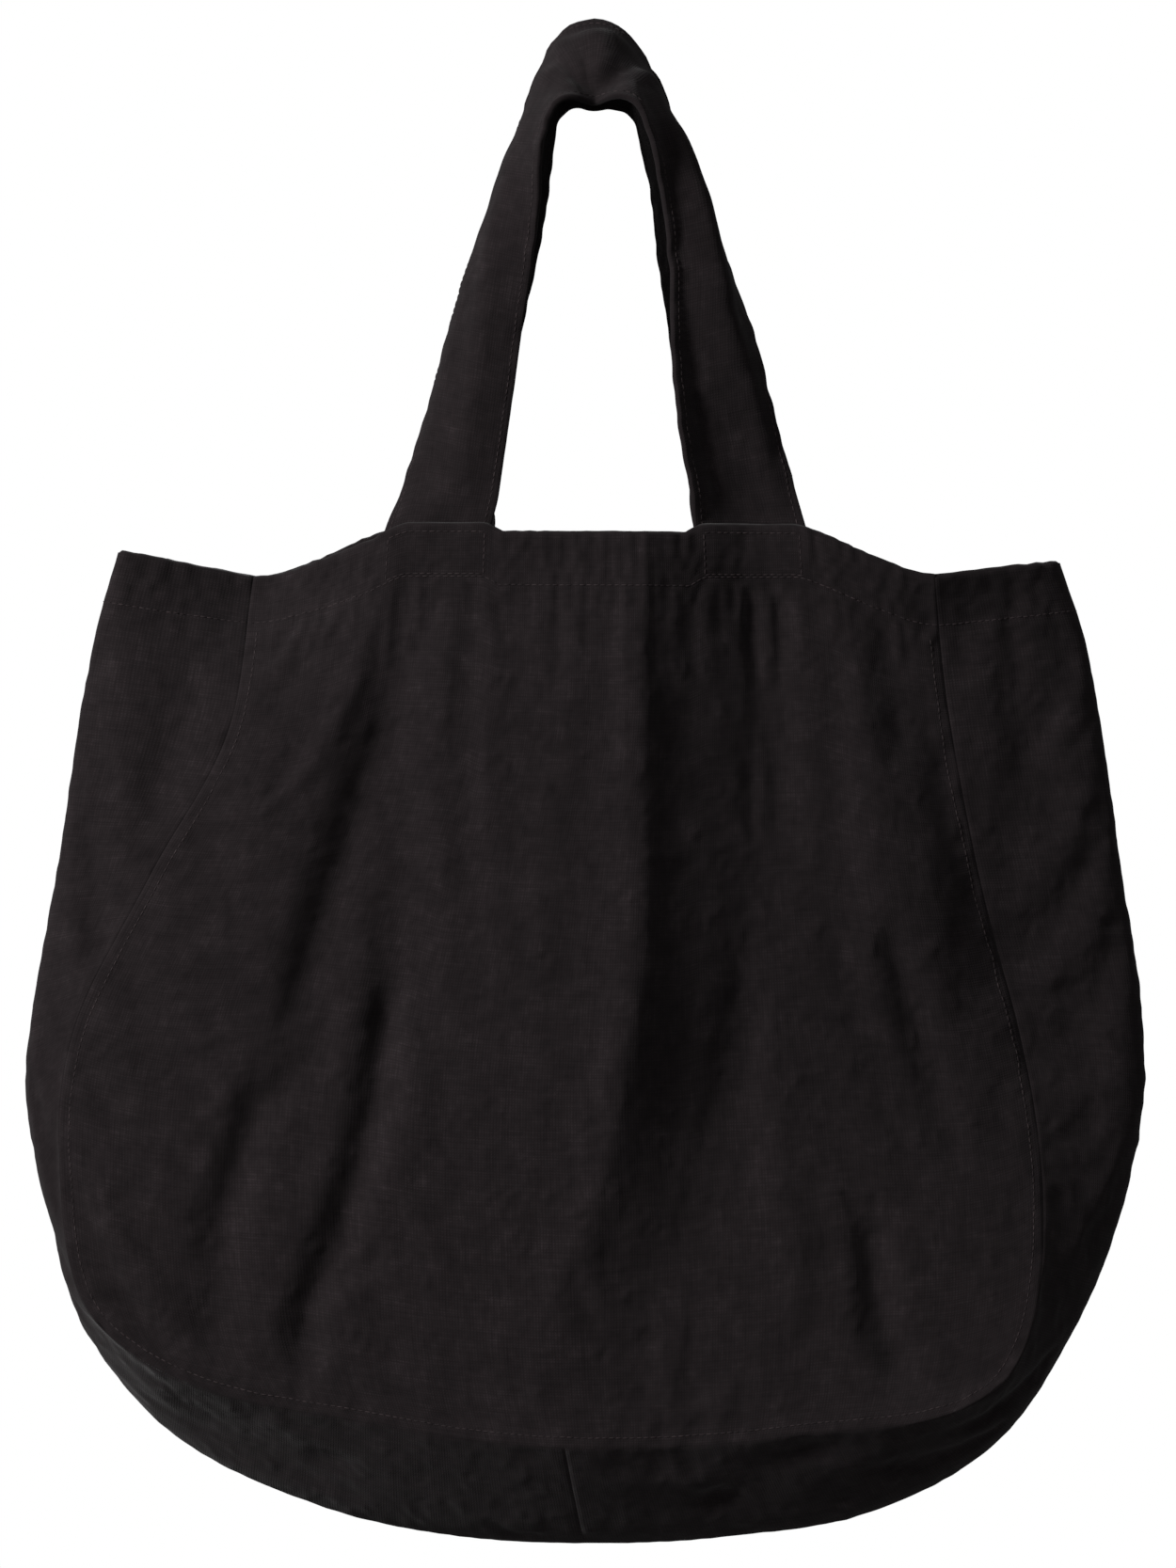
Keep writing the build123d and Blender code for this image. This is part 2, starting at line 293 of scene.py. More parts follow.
def stroke(places, path, depth, width):
    """How far a fold pushes the cloth in: deepest along its path, and fading towards its ends."""
    distance, share = from_path(places, path)
    fade = ease(0, stroke_fade, share) * ease(0, stroke_fade, 1 - share)
    return depth * MM * fade * np.exp(-((distance / (width * MM)) ** 2))


def uneven(points, lumps, seed):
    """Seeded noise at every grid point. Its lumps are given by their size in mm and their height."""
    size, height = lumps
    shift = Vector((seed, seed * 1.7, seed * 2.3))
    scaled = points.reshape(-1, 3) / (np.array(size) * MM)
    values = [noise.noise(Vector(place) + shift) for place in scaled]
    return height * np.array(values).reshape(points.shape[:2])


def ridges(points, lumps, seed):
    """The same noise, turned into sharp ridges with soft hollows between them."""
    size, height = lumps
    return height * (ridge_level - np.abs(uneven(points, (size, 1), seed)))


# %% Hang the panels with their main folds
mouth_depth = 36 * MM
base_depth = 50 * MM
panel_drop = hem_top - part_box("front_panel")[0].z
panel_swell = 9 * MM
mouth_push = 27 * MM
turned_back = 14 * MM
edge_rounding = 4 * MM, 13 * MM
edge_width = 50 * MM
seam_thinning = 4
broad_lumps = 140, 4 * MM
small_lumps = 45, 1.2 * MM

# The broad fold drifts to the left on its way down. Its depth at the hem and what it loses at the base are
# shares, and its profile is places across it in mm and shares of its depth
step_drift = 34 * MM
step_at_hem = 0.65
step_lost = 0.8
step_places = -26, -18, 30, 42, 60, 140
step_shares = 0, 0.04, 0.92, 1, 1, 1.1

# Each fold is a path of (x, z), its depth and its half width, all in mm
front_folds = [
    ([(-80, -214), (-96, -282), (-109, -330), (-122, -369), (-140, -445)], 6.0, 13),
    ([(-82, -262), (-88, -330), (-90, -400), (-94, -450)], 7.0, 24),
    ([(-92, -390), (-97, -443), (-104, -478), (-115, -517), (-130, -552), (-134, -600)], 7.0, 9),
    ([(-118, -446), (-153, -458), (-168, -512), (-175, -585)], 5.5, 10),
    ([(-118, -540), (-94, -526)], 3.0, 6),
    ([(122, -225), (154, -299), (180, -369), (199, -425)], 5.0, 13),
    ([(130, -365), (151, -430), (171, -505)], 3.5, 8),
    ([(125, -505), (131, -560), (145, -590)], 5.0, 9),
]
back_folds = [
    ([(-62, -222), (-72, -330), (-66, -470)], 6.0, 20),
    ([(92, -222), (112, -310), (130, -410)], 5.5, 14),
    ([(104, -390), (112, -480), (128, -590)], 6.0, 9),
    ([(34, -440), (26, -530), (20, -610)], 5.0, 10),
    ([(-146, -440), (-166, -520), (-152, -594)], 5.5, 10),
]


def hung(points, folds, step_place, step_depth, seed):
    """A panel's grid with its depth: leaning out to the base, stepped back by a broad fold, and creased."""
    x, z = points[..., 0], points[..., 2]
    down = (hem_top - z) / panel_drop
    places = points[..., [0, 2]]
    seam = np.concatenate([places[::-1, 0], places[0], places[:, -1]]) / MM
    inside, _ = from_path(places, seam[::seam_thinning])
    off_hem = ease(0, 0.15, down)
    off_mouth = ease(0, 0.2, down)
    depth = mouth_depth + (base_depth - mouth_depth) * down
    depth += panel_swell * ease(0.06, 0.22, down) * (1 - 0.5 * ease(0.7, 1, down))

    middle = step_place - step_drift * ease(0.4, 0.9, down)
    step = step_depth * (step_at_hem + (1 - step_at_hem) * off_hem) * (1 - step_lost * ease(0.5, 0.95, down))
    step_width = 0.95 + 0.17 * off_hem - 0.3 * down
    depth -= step * np.interp((x - middle) / MM / step_width, step_places, step_shares)
    right_part = ease(60 * MM, 200 * MM, x)
    depth -= turned_back * right_part * ease(0.35, 0.6, down) * (1 - ease(0.9, 1, down))

    left_end = np.interp(x / MM, [-150, -95], [1, 0])
    depth -= mouth_push * left_end * (1 - off_mouth)
    rounding = np.interp(x / MM, [0, 120], edge_rounding)
    at_seam = np.clip(1 - inside / edge_width, 0, 1) ** 2
    depth -= rounding * at_seam * off_mouth * (1 - ease(0.75, 0.95, down))
    for path, deep, wide in folds:
        depth -= stroke(places, path, deep, wide)
    depth += uneven(points, broad_lumps, seed) * ease(0.05, 0.3, down)
    depth += uneven(points, small_lumps, seed + 1) * ease(0.05, 0.2, down)
    return np.stack([x, -depth, z], axis=-1)


half_turn = np.array([-1, -1, 1])
flat_panel = spread(seam_line, seam_corners)
front_points = hung(flat_panel, front_folds, 41 * MM, 34 * MM, 3.1)
back_points = hung(flat_panel, back_folds, 16 * MM, 10 * MM, 17.3) * half_turn
front_depths = front_points[..., 1] / MM
print("front panel depth, mm:", round(front_depths.min(), 1), "to", round(front_depths.max(), 1))

# %% [markdown]
# ## The gusset before the cloth settles
# The gusset is one long strip from seam to seam, in two halves that meet under the bag. With nothing in the
# bag it folds outwards along its middle. Its grid runs round the seams: each column of it starts on the
# back seam, goes over the fold and ends on the front seam.

# %% Fold the gusset between the seams
gusset_rows = 31
fold_row = gusset_rows // 2
fold_roundness = 40 * MM
bottom_roundness = 0.6

# Where the fold lies from front to back, at places of x in mm. Between two heights it returns to the middle
fold_places = -250, 0, 250
fold_depths = -31 * MM, -10 * MM, 30 * MM
fold_rise = -640 * MM, -500 * MM


def sewn_edge(grid):
    """A panel grid's values round its seam: down the left, along the bottom and up the right."""
    return np.concatenate([grid[::-1, 0], grid[0, 1:-1], grid[:, -1]])


front_seam = sewn_edge(front_points)
back_seam = np.concatenate([back_points[::-1, -1], back_points[0, -2:0:-1], back_points[:, 0]])
up_side = np.linspace(0, 1, panel_rows)
along_bottom = np.linspace(0, 1, panel_columns)[1:-1]
fold = along(fold_line, np.concatenate([
    fold_corners[0] * up_side,
    fold_corners[0] + (fold_corners[1] - fold_corners[0]) * along_bottom,
    fold_corners[1] + (1 - fold_corners[1]) * up_side,
]))
up_from_base = ease(*fold_rise, fold[:, 2])
fold[:, 1] = np.interp(fold[:, 0] / MM, fold_places, fold_depths) * up_from_base


def swung(start, leaving, stop, arriving, shares):
    """A smooth curve that leaves one place and arrives at another in given directions."""
    t = shares[:, None, None]
    ahead = t * t * (3 - 2 * t)
    return (start * (1 - ahead) + stop * ahead
            + leaving * t * (1 - t) ** 2 - arriving * t * t * (1 - t))


over_fold = np.zeros_like(fold)
over_fold[:, 1] = -fold_roundness * (bottom_roundness + (1 - bottom_roundness) * up_from_base)
half_shares = np.linspace(0, 1, fold_row + 1)
gusset_points = np.concatenate([
    swung(back_seam, fold - back_seam, fold, over_fold, half_shares),
    swung(fold, over_fold, front_seam, front_seam - fold, half_shares)[1:],
])
from_fold = np.linspace(1, -1, gusset_rows)[:, None]

# Folds in the front half, as on the panels. They fade towards the seam and towards the gusset's own fold
gusset_folds = [
    ([(40, -650), (86, -621), (118, -608)], 5.0, 9),
    ([(-200, -592), (-176, -604), (-142, -616), (-100, -627)], 4.5, 13),
    ([(214, -395), (226, -430), (230, -490)], 2.5, 7),
    ([(186, -260), (208, -310), (222, -350)], 2.0, 9),
    ([(-176, -250), (-196, -300), (-206, -340)], 3.0, 9),
]
pushed = sum(stroke(gusset_points[..., [0, 2]], *fold_stroke) for fold_stroke in gusset_folds)
in_front = np.where(from_fold < 0, 1 - np.abs(from_fold) ** 6, 0)
pushed = pushed * in_front * ease(0, 0.4, np.abs(from_fold))
gusset_points = gusset_points - normals_of(gusset_points) * pushed[..., None]
print("gusset length, mm:", round(lengths_across(gusset_points, 1)[-1] / MM),
      "width, mm:", round(lengths_across(gusset_points, 0)[-1] / MM))

# %% [markdown]
# ## Let the sewn cloth settle
# Folds pressed in look stiff, because nothing around them gives way. So the three grids are welded
# at their seams into one shell, and the shell runs as cloth. The strap feet hold it, the hem and the
# outline hold on a little, and the cloth is told to be two percent too large. It then buckles into slack
# folds of its own. Afterwards its broad shape goes most of the way back to how it was hung, so that the
# finer folds stay and the outline keeps its place.

# %% Say where the cloth is held
strap_width = 50 * MM
hem_height = 26 * MM
hem_columns = 6

# How firmly the cloth is held, from 0 to 1: anywhere, in the hem, at the seams, and from the fold outwards
free_hold = 0.005
hem_hold = 0.6
seam_hold = 0.2
fold_holds = 0.5, 0.35, 0.2


def hold_panel(points):
    """How firmly a panel is held: fast at the strap feet, well along the hem, and hardly elsewhere."""
    x, drop = points[..., 0], mouth_edge(points[..., 0]) - points[..., 2]
    in_hem = drop < hem_height
    at_strap = np.abs(np.abs(x) - strap_spacing / 2) < strap_width / 2
    return np.where(in_hem & at_strap, 1.0, np.where(in_hem, hem_hold, free_hold))


def hold_gusset(points):
    """How firmly the gusset is held: along its fold, which is the outline, at its seams and at its hem."""
    hold = np.full(points.shape[:2], free_hold)
    for away, firmness in enumerate(fold_holds):
        hold[[fold_row - away, fold_row + away]] = firmness
    hold[[0, -1]] = seam_hold
    for columns in (slice(hem_columns), slice(-hem_columns, None)):
        hold[:, columns] = np.maximum(hold[:, columns], hem_hold)
    return hold


# %% Run the shell as cloth
cloth_frames = 25
cloth_excess = 0.02
weld_gap = 0.01 * MM


def settled(grids, holds):
    """The grids after they have run together as one welded cloth."""
    bm = bmesh.new()
    for grid in grids:
        placed_grid(bm, grid)
    bmesh.ops.remove_doubles(bm, verts=bm.verts, dist=weld_gap)
    shell = finished("shell", bm)
    count = len(shell.data.vertices)
    finder = KDTree(count)
    for vert in shell.data.vertices:
        finder.insert(vert.co, vert.index)
    finder.balance()
    indices = [np.array([finder.find(place)[1] for place in grid.reshape(-1, 3)]) for grid in grids]
    firmness = np.zeros(count)
    for index, hold in zip(indices, holds):
        np.maximum.at(firmness, index, hold.reshape(-1))
    group = shell.vertex_groups.new(name="held")
    for index, weight in enumerate(firmness):
        group.add([index], float(weight), "REPLACE")

    modifier = shell.modifiers.new("cloth", "CLOTH")
    canvas = modifier.settings
    canvas.quality = 6
    canvas.mass = 0.3
    canvas.tension_stiffness = canvas.compression_stiffness = 40
    canvas.shear_stiffness = 5
    canvas.bending_stiffness = 3
    canvas.air_damping = 1
    canvas.vertex_group_mass = "held"
    canvas.pin_stiffness = 1
    canvas.shrink_min = canvas.shrink_max = -cloth_excess
    canvas.effector_weights.gravity = 0.1
    modifier.point_cache.frame_end = cloth_frames
    scene = bpy.context.scene
    for frame_number in range(1, cloth_frames + 1):
        scene.frame_set(frame_number)
    rested = shell.evaluated_get(bpy.context.evaluated_depsgraph_get()).data
    places = np.array([vert.co for vert in rested.vertices])
    moved = np.linalg.norm(places - np.array([vert.co for vert in shell.data.vertices]), axis=1)
    print("settled", count, "points; moved up to, mm:", round(moved.max() / MM, 1))
    scene.frame_set(1)
    bpy.data.objects.remove(shell)
    return [places[index].reshape(grid.shape) for index, grid in zip(indices, grids)]


# %% Keep the finer folds
broad_return = 0.85
broad_passes = 5
seam_zone = 25 * MM
wall_seams = ["left", "right", "bottom"]


def edge_distance(points, edges):
    """How far each grid point lies from the nearest of a grid's edges: left, right, bottom or top."""
    from_left = run_along(points.transpose(1, 0, 2)).T
    from_bottom = run_along(points)
    distances = {
        "left": from_left, "right": from_left[:, -1:] - from_left,
        "bottom": from_bottom, "top": from_bottom[-1:] - from_bottom,
    }
    return np.min([distances[edge] for edge in edges], axis=0)


def blurred(values, passes):
    """Values on a grid, evened out with their neighbours several times over."""
    for _ in range(passes):
        for axis in (0, 1):
            line = np.moveaxis(values, axis, 0)
            line = np.concatenate([line[:1], line, line[-1:]])
            values = np.moveaxis((line[:-2] + 2 * line[1:-1] + line[2:]) / 4, 0, axis)
    return values


def kept_hang(before, after, sewn_edges):
    """A settled grid with its finer folds. Its broad shape and sewn edges go back towards how they hung."""
    moved = after - before
    inside = ease(0, seam_zone, edge_distance(before, sewn_edges))[..., None]
    return after - broad_return * (moved + (blurred(moved, broad_passes) - moved) * inside)


holds = [hold_panel(front_points), hold_panel(back_points), hold_gusset(gusset_points)]
front, back, gusset = settled([front_points, back_points, gusset_points], holds)
front_points = kept_hang(front_points, front, wall_seams)
back_points = kept_hang(back_points, back, wall_seams)
halves = [kept_hang(gusset_points[rows], gusset[rows], ["bottom", "top"])
          for rows in (slice(fold_row + 1), slice(fold_row, None))]
gusset_points = np.concatenate([halves[0], halves[1][1:]])

# %% [markdown]
# ## Crinkles and puckers
# Washed canvas keeps two finer sizes of unevenness. Crinkles a few centimetres long are left by the wash,
# and puckers about as wide as a finger stand along every seam and in the hem, because thread and cloth
# shrink differently. Both are too fine for the simulated grid, so the grid is made twice as fine first.

# %% Refine the grids and crinkle them
wash_crinkles = (38, 0.9), (17, 0.7)
fine_crinkles = 8, 0.32
seam_puckers = 10, 1.1 * MM
hem_puckers = (9, 9, 34), 0.8 * MM
crinkle_at_mouth = 0.3
crinkle_at_fold = 0.15
first_seed, seed_step = 60.0, 11


def refined(points, axis):
    """A grid with a new point between each two along an axis, on the smooth line through them."""
    points = np.moveaxis(points, axis, 0)
    ends = np.concatenate([2 * points[:1] - points[1:2], points, 2 * points[-1:] - points[-2:-1]])
    between = (9 * (ends[1:-2] + ends[2:-1]) - ends[:-3] - ends[3:]) / 16
    fine = np.empty((2 * len(points) - 1, *points.shape[1:]))
    fine[::2] = points
    fine[1::2] = between
    return np.moveaxis(fine, 0, axis)


def crinkled(points, seed, folded):
    """A wall of the bag with crinkles and puckers. Its sewn edges stay in place, so the seams stay shut."""
    from_seam = edge_distance(points, wall_seams)
    from_mouth = edge_distance(points, ["top"])
    sharp = sum(ridges(points, lumps, seed + turn) for turn, lumps in enumerate(wash_crinkles))
    fine = uneven(points, fine_crinkles, seed + 2)
    off_mouth = ease(0, 60 * MM, from_mouth)
    height = (sharp * (crinkle_at_mouth + (1 - crinkle_at_mouth) * off_mouth) + fine) * MM
    height += uneven(points, seam_puckers, seed + 3) * np.exp(-from_seam / (10 * MM))
    in_hem = 1 - ease(hem_height - 4 * MM, hem_height + 12 * MM, from_mouth)
    height += uneven(points, hem_puckers, seed + 4) * in_hem
    height *= ease(0, 4 * MM, from_seam)
    if folded:
        off_fold = np.abs(edge_distance(points, ["left"]) - edge_distance(points, ["right"])) / 2
        height *= crinkle_at_fold + (1 - crinkle_at_fold) * ease(0, 14 * MM, off_fold)
    return points + normals_of(points) * height[..., None]


gusset_middle = gusset_points.shape[1] // 2
walls = {
    "front_panel": front_points,
    "back_panel": back_points,
    "left_gusset": gusset_points[:, : gusset_middle + 1].transpose(1, 0, 2)[::-1],
    "right_gusset": gusset_points[::-1, gusset_middle:].transpose(1, 0, 2),
}
for number, (name, points) in enumerate(walls.items()):
    points = refined(refined(points, 0), 1)
    seed = first_seed + seed_step * number
    walls[name] = crinkled(points, seed, "gusset" in name)

# %% Cut the four walls of the bag
cloth_thickness = 0.9 * MM
for name, points in walls.items():
    cloth(name, points, cloth_thickness)
    print(name, "grid", points.shape[:2], "flat width and length, mm:",
          [round(lengths_across(points, axis)[-1] / MM) for axis in (1, 0)])

# %% [markdown]
# ## Hems, strap tails and seam edges
# The mouth's edge is turned in twice and sewn down, so a hem lies inside every wall. The strap ends are
# sewn to the inside of the hem, and the edges of the cloth stand inside each seam. All of these follow the
# wall that they are sewn to: they are the wall's own points, moved inwards by the layers in between.


# %% Find places on a wall
def below_mouth(points, drops):
    """Points of a wall at distances below its mouth edge, one row for each distance."""
    from_mouth = edge_distance(points, ["top"])
    found = np.empty((len(drops), points.shape[1], 3))
    for column in range(points.shape[1]):
        for axis in range(3):
            found[:, column, axis] = np.interp(drops, from_mouth[::-1, column], points[::-1, column, axis])
    return found


def behind_strap(points, middle, half_width, count):
    """Columns of a panel that hang under a stretch of its mouth edge, in the panel's order."""
    way = np.sign(points[-1, -1, 0] - points[-1, 0, 0])
    x_places = middle + way * np.linspace(-half_width, half_width, count)
    spots = np.interp(way * x_places, way * points[-1, :, 0], np.arange(points.shape[1]))
    low = np.minimum(spots.astype(int), points.shape[1] - 2)
    share = (spots - low)[None, :, None]
    return points[:, low] * (1 - share) + points[:, low + 1] * share


def inwards(points, distance):
    """A patch of cloth moved into the bag by a distance."""
    return points - normals_of(points) * distance


# %% Turn in the hems
hem_thickness = 1.8 * MM
hem_drops = np.array([26, 25.4, 24, 21, 18, 15, 12, 9, 6, 4, 2.4, 1.2, 0.4, 0]) * MM
lip = 0.5 * MM

for name, points in walls.items():
    hem = inwards(below_mouth(points, hem_drops), cloth_thickness)
    hem[-1] += normals_of(hem)[-1] * lip
    cloth(name.replace("_panel", "") + "_hem", hem, hem_thickness)

# %% Sew in the strap tails
strap_thickness = 3 * MM
strap_columns = 21
strap_middles = {"left": -strap_spacing / 2, "right": strap_spacing / 2}
tail_tops = {}

for wall in ("front", "back"):
    for side, middle in strap_middles.items():
        columns = behind_strap(walls[wall + "_panel"], middle, strap_width / 2, strap_columns)
        tail = inwards(below_mouth(columns, hem_drops), cloth_thickness + hem_thickness)
        cloth(f"{wall}_{side}_strap_tail", tail, strap_thickness)
        top = inwards(tail, strap_thickness / 2)[-1]
        tail_tops[wall, side] = top if top[0, 0] < top[-1, 0] else top[::-1]

# %% Stand the seam edges inside
allowance_thickness = 1.8 * MM
allowance_insets = np.array([2, 4, 6, 8, 10]) * MM
allowance_gap = 0.2 * MM
hem_gap = 1 * MM
seam_span = 8


def seam_of(points):
    """A panel's seam below the hem, from the left of the mouth to the right, and the ways in from it."""
    seam_points = sewn_edge(points)
    drops = sewn_edge(edge_distance(points, ["top"]))
    facing = np.array([0, np.sign(points[..., 1].mean()), 0])
    places = np.arange(len(seam_points))
    ahead = seam_points[np.minimum(places + seam_span, places[-1])]
    ways_in = np.cross(facing, ahead - seam_points[np.maximum(places - seam_span, 0)])
    ways_in /= np.linalg.norm(ways_in, axis=1, keepdims=True)
    below_hem = drops > hem_height + hem_gap
    return seam_points[below_hem], ways_in[below_hem]


def on_panel(wall, places):
    """The nearest points of a panel's cloth to some places, and the normals there."""
    bm = bmesh.new()
    bm.from_mesh(pieces[wall + "_panel"].data)
    surface = BVHTree.FromBMesh(bm)
    bm.free()
    found = [surface.find_nearest(place)[:2] for place in places]
    return tuple(np.array(part) for part in zip(*found))


for wall in ("front", "back"):
    seam_points, ways_in = seam_of(walls[wall + "_panel"])
    rows = []
    for inset in allowance_insets:
        row, out = on_panel(wall, seam_points + ways_in * inset)
        rows.append(row - out * (cloth_thickness + allowance_gap))
    cloth(wall + "_seam_allowance", np.array(rows), allowance_thickness)

print("hems, tails and seam edges:", len(pieces) - len(walls))

# %% [markdown]
# ## The handles
# Each handle is one long strap of folded canvas. It leaves the hem flat, turns edge on as it rises, and
# bends over in a crown. Its shape is built from its own way of moving: a path for its middle line, and at
# every station the angles that its inner part, its face and its rolled edge have turned through. Adding up
# small steps across the width keeps the strap as wide as it was cut.

# %% Lead a strap from foot to foot
crown_radius = 28 * MM
crown_middle = Vector((0, -25.2, -10)) * MM
strap_stations = 217
foot_straightens = 34 * MM

foot = Vector(tail_tops["front", "left"].mean(axis=0))
foot_to_crown = hypot(foot.x, crown_middle.z - foot.z)
leg_length = sqrt(foot_to_crown**2 - crown_radius**2)
leg_angle = atan2(crown_middle.z - foot.z, -foot.x) + asin(crown_radius / foot_to_crown)
strap_length = 2 * leg_length + 2 * leg_angle * crown_radius
shoulder = leg_length / strap_length


def strap_path(bows):
    """Middle points of a strap, and how steeply it rises there. Bows are its shifts out of the loop."""
    run = np.linspace(0, strap_length, strap_stations)
    from_end = np.minimum(run, strap_length - run)
    side = np.where(run < strap_length / 2, -1.0, 1.0)
    on_leg = from_end < leg_length
    leg = np.clip(from_end / leg_length, 0, 1)
    rising = np.where(on_leg, leg_angle, (strap_length / 2 - from_end) / crown_radius)
    reach = bows + np.where(on_leg, -foot.x - from_end * cos(leg_angle), crown_radius * np.sin(rising))
    on_crown = crown_middle.z + crown_radius * np.cos(rising)
    height = np.where(on_leg, foot.z + from_end * sin(leg_angle), on_crown)
    depth = foot.y + (crown_middle.y - foot.y) * leg
    upright = 1 - ease(0, foot_straightens, from_end)
    rising = rising + (radians(90) - rising) * upright
    return np.stack([side * reach, depth, height], axis=-1), -side * rising


# %% Turn a strap along its path
foot_pull = 120 * MM
foot_calm = 25 * MM
crease_width = 4 * MM
lie_smoothing = 9
strap_crinkles = 30, 0.9
strap_ripples = 13, 0.5
edge_puckers = 8, 1.2
pucker_width = 7 * MM


def strap(lie, folds, seed):
    """A strap's grid: rows run from its inner to its outer edge, columns from the left foot to the right."""
    stations = np.linspace(0, 1, strap_stations)
    shares, *columns = zip(*lie)
    smoothing = np.ones(lie_smoothing) / lie_smoothing
    columns = [np.interp(stations, shares, column) for column in columns]
    columns = [np.pad(column, lie_smoothing // 2, mode="edge") for column in columns]
    columns = [np.convolve(column, smoothing, "valid") for column in columns]
    bows, crease, roll, inner, outer, edge_turn = columns
    middle, rising = strap_path(bows * MM)
    widths = np.linspace(-strap_width / 2, strap_width / 2, strap_columns)
    halfway = (widths[1:] + widths[:-1]) / 2
    past_crease = ease(-crease_width, crease_width, halfway[:, None] - crease * MM)
    past_roll = ease(-crease_width, crease_width, halfway[:, None] - roll * MM)
    turn = np.radians(inner + (outer - inner) * past_crease + (edge_turn - outer) * past_roll)
    out_of_loop = np.stack([-np.sin(rising), np.zeros_like(rising), np.cos(rising)], axis=-1)
    ways = out_of_loop[None] * np.cos(turn)[..., None] + np.array([0, 1, 0]) * np.sin(turn)[..., None]
    steps = ways * (widths[1] - widths[0])
    points = np.concatenate([np.zeros((1, strap_stations, 3)), np.cumsum(steps, axis=0)])
    points = points + middle[None] - points[strap_columns // 2]

    edge = strap_width / 2 - np.abs(widths)[:, None]
    lift = ridges(points, strap_crinkles, seed) + uneven(points, strap_ripples, seed + 1)
    lift = (lift + uneven(points, edge_puckers, seed + 2) * np.exp(-edge / pucker_width)) * MM
    flat = np.stack(np.meshgrid((stations - 0.5) * strap_length, widths), axis=-1)
    lift = lift - sum(stroke(flat, *fold_stroke) for fold_stroke in folds)
    from_foot = np.minimum(stations, 1 - stations)[None] * strap_length
    lift = lift * ease(0, foot_calm, from_foot)
    return points - normals_of(points) * lift[..., None]


def footed(points, wall):
    """A strap whose two ends have been drawn onto the tops of its tails."""
    run = np.linspace(0, strap_length, strap_stations)
    at_left = (1 - ease(0, foot_pull, run))[None, :, None]
    at_right = at_left[:, ::-1]
    left_pull = tail_tops[wall, "left"][::-1, None] - points[:, :1]
    right_pull = tail_tops[wall, "right"][:, None] - points[:, -1:]
    return points + left_pull * at_left + right_pull * at_right


# %% Lay both straps
# How a strap lies, from its left foot to its right. Each row is a share of its length, then in mm a shift
# out of the loop and the places across it of a crease and of the start of its rolled edge, then in degrees
# the turns of its inner part, its face and its rolled edge
front_lie = [
    (0, 0, 0, 12, 2, 2, 2), (0.021, 0, 0, 12, 4, 26, 32), (0.056, 0.4, -6, 12, -6, 32, 46),
    (0.14, 3.6, -6, 12, -8, 36, 76), (0.223, 6.6, -6, 12, -5, 52, 88), (0.294, 8, -3, 12, 20, 72, 95),
    (0.365, 6, 0, 12, 55, 80, 95), (0.404, 3, 0, 12, 66, 84, 92), (0.44, 0, 0, 12, 62, 79, 88),
    (0.46, 0, 0, 12, 44, 67, 76), (0.48, 0, 0, 12, 33, 42, 48), (0.5, 0, 0, 12, 26, 26, 28),
    (0.52, 0, 0, 12, 33, 42, 48), (0.54, 0, 0, 12, 44, 67, 76), (0.56, 2, -4, 8, 60, 74, 88),
    (0.596, 8, -14, -5, 62, 42, 93), (0.618, 11.5, -17, -5, 52, 22, 93), (0.674, 15.6, -19, -3, 40, 2, 93),
    (0.738, 14.5, -19, 0, 38, 0, 86), (0.799, 7, -16, 5, 42, 0, 67), (0.884, 0.8, -12, 14, 44, 0, 56),
    (0.97, -0.6, -9, 14, 42, 2, 28), (1, 0, -6, 12, 12, 2, 2),
]
back_turns = [
    (0, 2, 2, 2), (0.021, 34, 34, 34), (0.056, 42, 42, 42), (0.14, 50, 52, 55), (0.223, 55, 60, 65),
    (0.294, 54, 70, 76), (0.365, 62, 78, 82), (shoulder, 70, 80, 84), (0.46, 66, 68, 70),
    (0.5, 46, 48, 50), (0.54, 66, 68, 70), (1 - shoulder, 74, 75, 76), (0.629, 75, 76, 77),
    (0.667, 71, 72, 73), (0.713, 64, 65, 66), (0.781, 57, 57, 58), (0.869, 46, 46, 46),
    (0.94, 34, 34, 34), (1, 2, 2, 2),
]
back_lie = [(share, 0, 0, 12, *turns) for share, *turns in back_turns]

# Bunched folds over the crown: paths of (run past its middle, place across it), depth and half width, in mm
crown_folds = [
    ([(1, 18), (2, 4), (4, -16)], 6.0, 8),
    ([(-12, 22), (-10, 2), (-9, -16)], 2.5, 3.5),
    ([(28, 12), (20, -8), (28, -24)], 2.5, 4),
    ([(-26, 12), (-19, -4), (-22, -22)], 2.5, 4.5),
]

mirrored = np.array([1, -1, 1])
straps = {
    "front_handle": footed(strap(front_lie, crown_folds, 41.0), "front"),
    "back_handle": footed(strap(back_lie, crown_folds[1:], 52.0) * mirrored, "back"),
}

edge_round = 1.1 * MM
for name, points in straps.items():
    cloth(name, points, strap_thickness, "strap", 0.0)
    rounding = pieces[name].modifiers.new("rounded edges", "BEVEL")
    rounding.width = edge_round
    rounding.segments = 3
    rounding.angle_limit = radians(60)
print("strap length, mm:", round(strap_length / MM), "legs rise at", round(degrees(leg_angle), 1), "degrees")

# %% [markdown]
# ## Stitches
# Every seam is held by lockstitch: short dashes of thread, each dipping into the cloth at both ends. One
# stitch is a small stretched ball, sunk half way into the cloth. Rows of them follow the walls and straps.

# %% Lay rows of stitches
stitch_pitch = 3.2 * MM
stitch_length = 2.7 * MM
thread_width = 0.65 * MM
thread_height = 0.6 * MM
ball_sides, ball_rings = 6, 4


